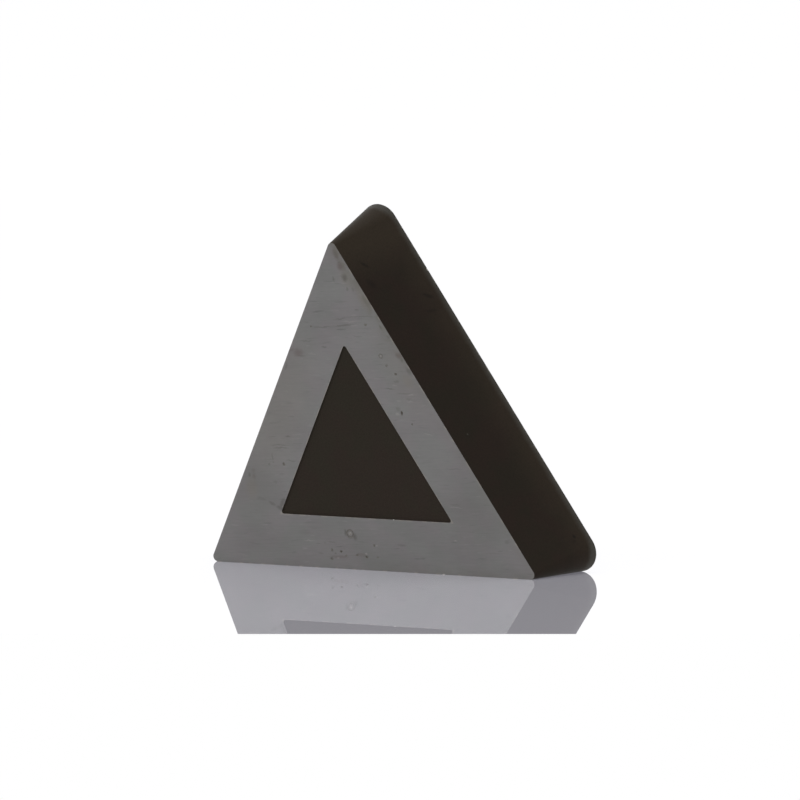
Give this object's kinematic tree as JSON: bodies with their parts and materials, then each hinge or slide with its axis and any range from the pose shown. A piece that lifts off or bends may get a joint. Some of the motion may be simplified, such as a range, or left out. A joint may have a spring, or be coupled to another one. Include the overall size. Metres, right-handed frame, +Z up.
{
  "type": "carbide insert",
  "caption": "Triangular positive turning insert standing on a flank, with conical noses, honed cutting edges and a seat face whose ground band frames a shallow relief.",
  "frame": {"origin": "on the surface that the insert stands on, under the middle of the box round it", "axes": "+X along the flank it stands on, +Y from the seat face towards the rake face, +Z up from that flank towards the upper nose"},
  "size_m": [0.0154, 0.0056, 0.0132],
  "materials": {
    "sintered_carbide": "satin"
  },
  "bodies": {
    "root": {"insert_body": "sintered_carbide"}
  },
  "joints": []
}
